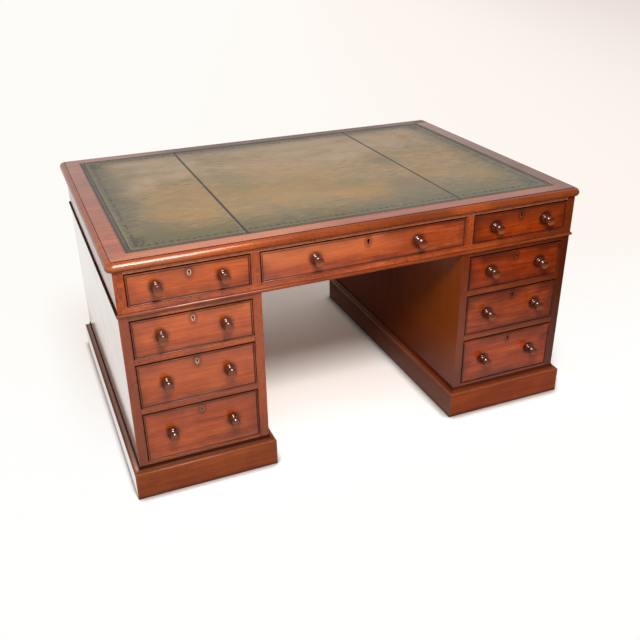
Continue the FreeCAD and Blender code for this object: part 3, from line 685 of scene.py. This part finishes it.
side_thickness = 0.028
shade_dark = (0.05, 0.008, 0.002)
pedestal_looks = (
    ("left", 13, (0.85, 0.9, 0.9), 0.25),
    ("right", 17, (0.85, 0.86, 1.1), 0.70),
)
for end, seed, tone, stile_shade in pedestal_looks:
    low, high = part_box(end + "_pedestal_sides")
    middle_x = (low[0] + high[0]) / 2
    opening_half = (high[0] - low[0]) / 2 - side_thickness
    innermost = min(abs(low[0]), abs(high[0]))
    outermost = max(abs(low[0]), abs(high[0]))
    ease_edges(end + "_pedestal_sides", 0.0012)
    sides = Mahogany(end + " pedestal sides", "Z", seed, tone, depth=0.35)
    from_middle = sides.gap(sides.x, middle_x)
    from_desk_middle = sides.gap(sides.x)
    behind_face = sides.inset(sides.y, high[1])
    on_front = sides.fading(sides.y, low[1] + 0.0005, low[1] + 0.003)
    outer_face = sides.between(from_desk_middle, outermost - 0.0008, outermost - 0.0002)
    facing_kneehole = sides.fading(from_desk_middle, innermost, innermost + 0.0006)
    in_opening = sides.all_of(
        sides.fading(from_middle, opening_half, opening_half + 0.0004),
        sides.between(behind_face, 0.0010, 0.0025),
    )
    beside_opening = sides.all_of(
        sides.fading(from_middle, opening_half + 0.001, opening_half + 0.005),
        sides.between(sides.smudge, 0.35, 0.60),
    )
    # Deeper in the kneehole the side is painted darker, as shade.
    kneehole_shade = sides.all_of(facing_kneehole, sides.between(behind_face, 0.01, 0.25, 0.3, 1.0))
    outer_stile = sides.between(from_desk_middle, outermost - 0.0525, outermost - 0.0125)
    outer_stile = sides.all_of(outer_stile, on_front)
    stile_foot = sides.all_of(on_front, sides.fading(sides.z, 0.12, 0.24))
    lit_kneehole = sides.all_of(
        sides.fading(behind_face, 0.02, 0.50),
        sides.between(sides.z, 0.05, 0.30),
        facing_kneehole,
    )
    pale_foot = sides.all_of(outer_face, sides.fading(sides.z, 0.11, 0.20))
    sides.gloss = sides.plus(sides.plus(0.5, outer_face, -0.35), facing_kneehole, -0.12)
    sides.stain(beside_opening, 0.6)
    if end == "right":
        sides.stain(sides.any_of(on_front, facing_kneehole), 0.52, shade_dark)
    sides.stain(outer_stile, stile_shade, shade_dark)
    sides.stain(in_opening, 0.95, shadow_dark, 0.8)
    sides.stain(kneehole_shade, 0.24, (0.040, 0.009, 0.0015))
    sides.stain(stile_foot, 0.35, (0.06, 0.012, 0.003))
    sides.stain(lit_kneehole, 0.36, (0.42, 0.095, 0.008))
    sides.stain(pale_foot, 0.35, (0.62, 0.46, 0.38))
    sides.dings(on_front, 0.60)
    sides.varnish(outer_face)
    sides.dress(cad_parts[end + "_pedestal_sides"])

    ease_edges(end + "_pedestal_rails", 0.0008)
    crossrails = Mahogany(end + " pedestal rails", "X", seed + 1, tone)
    behind_face = crossrails.between(crossrails.inset(crossrails.y, high[1]), 0.0008, 0.0022)
    under_bead = crossrails.between(crossrails.z, high[2] - 0.016, high[2] - 0.014)
    if end == "right":
        shaded = crossrails.math("LESS_THAN", crossrails.y, 0.0)
        crossrails.stain(shaded, 0.36, shade_dark)
        crossrails.stain(crossrails.all_of(shaded, under_bead), 0.35, shade_dark)
        shaded = crossrails.all_of(shaded, crossrails.between(crossrails.x, 0.45, 0.74))
        crossrails.stain(shaded, 0.28, (0.06, 0.009, 0.002))
    else:
        grime = crossrails.all_of(under_bead, crossrails.between(crossrails.smudge, 0.42, 0.58))
        crossrails.stain(grime, 0.60, (0.10, 0.040, 0.018))
    crossrails.stain(behind_face, 0.95, shadow_dark, 0.8)
    crossrails.dings(1.0, 0.60)
    crossrails.dress(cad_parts[end + "_pedestal_rails"])


# Plinths
# Four mitred mahogany boards planted round the foot of each pedestal, with a moulding worked on their upper
# edge. Wax and floor dirt have settled in the hollow of the moulding and along the floor.

plinth_face_height = 0.091
plinth_looks = (
    ("left", 19, (0.65, 0.84, 1.6), 0.85),
    ("right", 23, (0.70, 0.72, 1.05), 0.62),
)
for end, seed, tone, hollow_dirt in plinth_looks:
    name = end + "_pedestal_plinth"
    low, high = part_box(name)
    middle_x = (low[0] + high[0]) / 2
    half_x = (high[0] - low[0]) / 2
    half_y = (high[1] - low[1]) / 2
    innermost = min(abs(low[0]), abs(high[0]))
    outermost = max(abs(low[0]), abs(high[0]))

    def on_end_board(wood):
        """One on the boards that run from front to back, as far as their mitres."""
        return wood.math("LESS_THAN", wood.inset(wood.x, half_x, middle_x), wood.inset(wood.y, half_y))

    ease_edges(name, 0.0006)
    boards = Mahogany(end + " plinth", "X", seed, tone, "Y", on_end_board, depth=0.5)
    boards.gloss = 0.13
    boards.roughness = boards.math("ADD", boards.roughness, 0.08)
    above_face = boards.math("SUBTRACT", boards.z, plinth_face_height)
    from_end = boards.inset(boards.x, half_x, middle_x)
    from_front = boards.inset(boards.y, half_y)
    corner = boards.fading(boards.math("MAXIMUM", from_end, from_front), 0.001, 0.006)
    moulding = boards.between(above_face, 0.0008, 0.0020)
    # In the kneehole the plinth is painted darker, as shade.
    kneehole_shade = boards.fading(boards.gap(boards.x), innermost + 0.0015, innermost + 0.0095)
    hollow = boards.all_of(
        boards.between(above_face, 0.0035, 0.0075),
        boards.between(boards.x, -outermost + 0.0095, -outermost + 0.0195),
    )
    # At the outer left end the ledge is painted pale, as light.
    lit_outer_ledge = boards.all_of(
        boards.between(above_face, 0.0002, 0.0010),
        boards.between(boards.y, low[1] + 0.0075, low[1] + 0.0275),
        boards.between(boards.x, -outermost + 0.0170, -outermost + 0.0140),
    )
    arris = boards.line(above_face, -0.0005, 0.004)
    scuffed = boards.fading(boards.z, 0.002, 0.012)
    boards.stain(corner, 0.4, (0.34, 0.14, 0.07))
    boards.stain(moulding, 0.4, (0.07, 0.016, 0.006), 1.0)
    boards.stain(kneehole_shade, 0.50, (0.062, 0.046, 0.036))
    boards.stain(hollow, hollow_dirt, (0.020, 0.005, 0.002), 0.5)
    boards.stain(lit_outer_ledge, 0.62, (0.66, 0.44, 0.35))
    boards.stain(arris, 0.5, (0.36, 0.12, 0.05))
    boards.stain(scuffed, 0.7, dull=0.8)
    boards.dings(1.0, 0.25)
    boards.varnish(boards.between(boards.gap(boards.x), outermost - 0.0008, outermost - 0.0002))
    boards.dress(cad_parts[name])


# Drawer fronts
# Solid mahogany fronts with a rounded cock bead let in round the edge and two turned knobs tenoned in.
# Polish has gathered dark about the keyhole. The dark beside the bead and round the knobs is partly gathered
# polish and partly painted shade, the bead's outer half is painted as shade in the gap, and the lower half
# of each knob's crown carries a painted reflection.

front_thickness = 0.022
bead_width = 0.0035
side_spacing = 0.190
centre_spacing = 0.340
keyhole_drop = 0.018

# Tone, painted light on the upper half, strength of the wavy figure, and rubbing round the keyhole, for each
# front.
# The tones are partly each front's own and partly painted light and shade, lighter on the left, darker on
# the right.
front_looks = {
    "frieze_drawer_left": ((1.16, 1.20, 1.1), 0.14, 0.30, 0.75),
    "frieze_drawer_centre": ((0.98, 1.02, 1.8), 0.50, 0.0, 0.0),
    "frieze_drawer_right": ((1.02, 0.70, 0.22), 0.11, 0.0, 0.0),
    "left_drawer_upper": ((1.10, 1.12, 1.05), 0.16, 0.0, 0.45),
    "left_drawer_middle": ((1.00, 0.99, 0.97), 0.12, 0.0, 0.40),
    "left_drawer_lower": ((0.95, 0.91, 0.83), 0.0, 0.20, 0.15),
    "right_drawer_upper": ((0.86, 0.64, 0.6), 0.0, 0.0, 0.0),
    "right_drawer_middle": ((0.90, 0.76, 0.7), 0.0, 0.50, 0.0),
    "right_drawer_lower": ((1.08, 0.88, 0.55), 0.0, 0.40, 0.0),
}
plain_front = ((1.0, 1.0, 1.0), 0.0, 0.0, 0.0)

# Reach and strength of the dark edges, dirt and painted shade round the knobs, and gloss of the knob heads.
# The dark edges are partly dirt and partly painted shade, and on the right they are painted darker, as
# shade.
left_wear_and_shade = (0.05, 0.42, 0.65, 0.66)
right_wear_and_shade = (0.07, 0.65, 0.95, 0.44)
drawer_names = [name.removesuffix("_face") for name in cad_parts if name.endswith("_face")]
for number, name in enumerate(drawer_names):
    low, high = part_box(name + "_face")
    in_centre = "centre" in name
    spacing = centre_spacing if in_centre else side_spacing
    tone, upper_half_lit_strength, figured_strength, rubbed_strength = front_looks.get(name, plain_front)
    edge_reach, edge_strength, knob_dirt_and_shade, head_gloss = right_wear_and_shade if "right" in name else left_wear_and_shade
    middle_x = (low[0] + high[0]) / 2
    middle_z = (low[2] + high[2]) / 2
    half_x = (high[0] - low[0]) / 2
    half_z = (high[2] - low[2]) / 2
    key_middle = high[2] - keyhole_drop - 0.003
    ease_edges(name + "_face", 0.0005)
    front = Mahogany(name.replace("_", " ") + " front", "X", 29 + 2 * number, tone)
    if in_centre:
        front.gloss = 0.70
    if name.startswith("rear"):
        outwards = front.math("SUBTRACT", front.y, low[1] + front_thickness)
    else:
        outwards = front.math("SUBTRACT", high[1] - front_thickness, front.y)
    to_edge = front.math(
        "MINIMUM",
        front.inset(front.x, half_x, middle_x),
        front.inset(front.z, half_z, middle_z),
    )
    from_middle = front.gap(front.x, middle_x)
    above_middle = front.math("SUBTRACT", front.z, middle_z)
    above_key = front.math("SUBTRACT", front.z, key_middle)
    from_knob = front.radius(front.math("SUBTRACT", from_middle, spacing / 2), above_middle)
    from_key = front.radius(from_middle, front.math("MULTIPLY", above_key, 0.65))
    # The upper half of each front is painted paler, as light, most on the left.
    upper_half_lit = front.between(above_middle, -0.8 * half_z, 0.8 * half_z)
    if in_centre:
        upper_half_lit = front.all_of(upper_half_lit, front.between(front.x, 0.25, -0.10))
    waves = front.noise(front.stretched("X", 0.22, 5 + number), 26.0, 3.0, 0.9)
    dark_edge = front.all_of(front.fading(to_edge, 0.0, edge_reach), front.between(front.smudge, 0.3, 0.6))
    # The outer half of the cock bead is painted dark and dull, as shade in the gap.
    bead_back_shade = front.fading(to_edge, 0.0010, 0.0018)
    # The groove inside the bead is darkened, partly dirt and partly painted shade.
    groove_dirt_and_shade = front.line(to_edge, bead_width + 0.0008, 0.0026)
    in_gap = front.fading(outwards, -0.0022, -0.0008)
    on_knob = front.between(outwards, 0.0028, 0.0034)
    # The lower half of each knob's crown is painted paler, as a painted reflection of the floor.
    lower_crown_reflection = front.all_of(front.between(outwards, 0.0325, 0.0350), front.between(above_middle, 0.010, -0.010))
    head = front.all_of(on_knob, front.between(above_middle, -0.001, 0.006))
    front.stain(upper_half_lit, upper_half_lit_strength, (0.82, 0.23, 0.080))
    front.stain(front.between(waves, 0.52, 0.68), figured_strength, (0.09, 0.015, 0.004))
    front.stain(dark_edge, edge_strength, (0.05, 0.008, 0.003))
    front.stain(bead_back_shade, 0.6, dull=0.9)
    front.stain(groove_dirt_and_shade, 0.85, (0.03, 0.005, 0.002), 0.6)
    front.stain(in_gap, 0.95, shadow_dark, 0.8)
    # The ring round each knob is partly dirt and partly painted shade.
    front.stain(front.fading(from_knob, 0.016, 0.030), knob_dirt_and_shade)
    front.stain(front.fading(from_key, 0.011, 0.018), 0.4)
    front.stain(front.fading(from_key, 0.0052, 0.0066), rubbed_strength, (0.62, 0.40, 0.23))
    front.stain(on_knob, 0.85, (0.095, 0.015, 0.003))
    front.stain(lower_crown_reflection, 0.78, (0.300, 0.092, 0.040))
    front.gloss = front.all_of(front.gloss, front.plus(1.0, on_knob, -0.86))
    front.gloss = front.plus(front.gloss, head, head_gloss)
    front.roughness = front.plus(front.roughness, on_knob, 0.06)
    front.dress(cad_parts[name + "_face"])


# Drawer linings
# Sides, back and bottom of plain oak, dovetailed together, with the bottom let into grooves. They are waxed
# only, and dull beside the polished fronts.

class PlainWood(Finish):
    """Unpolished timber in its own colours, with straight grain and open pores."""

    def __init__(self, name, along, seed, dark, light, across=None, turned=None):
        super().__init__(name)
        squeeze = 0.05
        lay = self.stretched(along, squeeze, seed)
        if across is not None:
            lay = self.either(turned(self), lay, self.stretched(across, squeeze, seed))
        broad = self.noise(lay, 22.0, 3.0, 0.5)
        fine = self.noise(lay, 500.0, 2.0)
        figure = self.plus(self.math("MULTIPLY", broad, 0.65), fine, 0.35)
        self.colour = self.ramp(figure, (0.3, dark), (0.7, light))
        self.roughness = self.between(fine, 0.3, 0.7, 0.5, 0.68)
        self.emboss(fine, 0.2, 0.0003)


lining_thickness = 0.011
oak = ((0.20, 0.115, 0.05), (0.36, 0.22, 0.105))
for number, name in enumerate(drawer_names):
    low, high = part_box(name + "_box")
    middle_x = (low[0] + high[0]) / 2
    inner_half = (high[0] - low[0]) / 2 - lining_thickness - hairline

    def on_side(wood):
        """One on the two side boards."""
        return wood.math("GREATER_THAN", wood.gap(wood.x, middle_x), inner_half)

    ease_edges(name + "_box", 0.0004)
    lining = PlainWood(name + " lining", "X", 53 + number, *oak, "Y", on_side)
    lining.dress(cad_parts[name + "_box"])


# Locks, escutcheons and hinges
# Brass lock cases let into the backs of the fronts, brass threads let in round the keyholes, and brass butt
# hinges on the cupboard doors, all long unpolished.

class Brass(Finish):
    """Old brass with patches of tarnish."""

    def __init__(self, name, colour, tarnish):
        super().__init__(name)
        patches = self.noise(self.place, 160.0, 3.0)
        self.shader.inputs["Metallic"].default_value = 0.6
        self.colour = self.mix(self.between(patches, 0.4, 0.65), (*colour, 1.0), (*tarnish, 1.0))
        self.roughness = self.between(patches, 0.3, 0.7, 0.25, 0.42)


old_brass = ((0.62, 0.44, 0.19), (0.30, 0.19, 0.08))
pale_brass = ((0.92, 0.78, 0.58), (0.68, 0.50, 0.34))
dim_brass = ((0.46, 0.26, 0.18), (0.28, 0.13, 0.08))
dark_brass = ((0.16, 0.07, 0.035), (0.07, 0.03, 0.015))
# The brass differs partly in tarnish and partly as painted light and shade: pale on the left, dim or dark
# elsewhere.
lock_brass = {
    "frieze_drawer_left": pale_brass,
    "left_drawer_upper": pale_brass,
    "left_drawer_middle": pale_brass,
    "frieze_drawer_centre": dark_brass,
    "frieze_drawer_right": dim_brass,
    "right_drawer_upper": dim_brass,
    "right_drawer_middle": dark_brass,
    "right_drawer_lower": dark_brass,
}
brass_names = [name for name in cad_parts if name.endswith(("_lock", "_brass", "_hinges"))]
for name in brass_names:
    low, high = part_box(name)
    drawer = name.removesuffix("_lock")
    brass = Brass(name.replace("_", " "), *lock_brass.get(drawer, old_brass))
    if name.endswith("_lock"):
        key_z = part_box(drawer + "_face")[1][2] - keyhole_drop
        depth = brass.inset(brass.y, max(abs(low[1]), abs(high[1])))
        beside_key = brass.gap(brass.x, (low[0] + high[0]) / 2)
        above_key = brass.math("SUBTRACT", brass.z, key_z)
        # Inside the keyhole the lock case is painted near black, as shade.
        keyhole_shade = brass.all_of(
            brass.math("LESS_THAN", depth, 0.020),
            brass.math("LESS_THAN", beside_key, 0.006),
            brass.between(depth, 0.0005, 0.0009),
        )
        round_keyhole_shade = brass.fading(brass.radius(beside_key, above_key), 0.0033, 0.0037)
        slot_keyhole_shade = brass.all_of(
            brass.fading(beside_key, 0.0018, 0.0022),
            brass.between(above_key, -0.0085, -0.0080),
            brass.math("LESS_THAN", above_key, 0.0),
        )
        brass.stain(keyhole_shade, 0.97, (0.006, 0.004, 0.002))
        brass.stain(brass.any_of(round_keyhole_shade, slot_keyhole_shade), 0.95, (0.010, 0.006, 0.003))
    ease_edges(name, 0.0002)
    brass.dress(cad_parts[name])


# Cupboard doors
# Framed and panelled mahogany doors hung in the rear of the pedestals: upright stiles, rails tenoned between
# them, and a panel in grooves behind a planted moulding.

door_stile = 0.058
for end, seed in (("left", 71), ("right", 73)):
    name = end + "_door_frame"
    low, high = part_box(name)
    middle_x = (low[0] + high[0]) / 2
    rail_half = (high[0] - low[0]) / 2 - door_stile

    def on_rail(wood):
        """One on the upper and lower rails of the door."""
        inside = wood.math("LESS_THAN", wood.gap(wood.x, middle_x), rail_half)
        foot = wood.math("LESS_THAN", wood.z, low[2] + door_stile)
        head = wood.math("GREATER_THAN", wood.z, high[2] - door_stile)
        return wood.all_of(inside, wood.any_of(foot, head))

    ease_edges(name, 0.0006)
    door = Mahogany(end + " door", "Z", seed, (0.85, 0.83, 0.83), "X", on_rail)
    door.dress(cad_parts[name])


# Carcass timber inside
# Pine boards, runners and the spine, glued in and never polished, and the oak pegs that locate the top on
# the pedestals.

pine = ((0.30, 0.17, 0.07), (0.45, 0.29, 0.135))
pine_pieces = {"frieze_spine": "X", "frieze_runners": "Y"}
for end in ("left", "right"):
    pine_pieces[end + "_pedestal_boards"] = "X"
    pine_pieces[end + "_pedestal_runners"] = "Y"
for number, (name, along) in enumerate(pine_pieces.items()):
    ease_edges(name, 0.0006)
    timber = PlainWood(name.replace("_", " ") + " pine", along, 81 + number, *pine)
    timber.dress(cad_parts[name])
ease_edges("locating_pegs", 0.0006)
pegs = PlainWood("peg oak", "Z", 91, *oak)
pegs.dress(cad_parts["locating_pegs"])
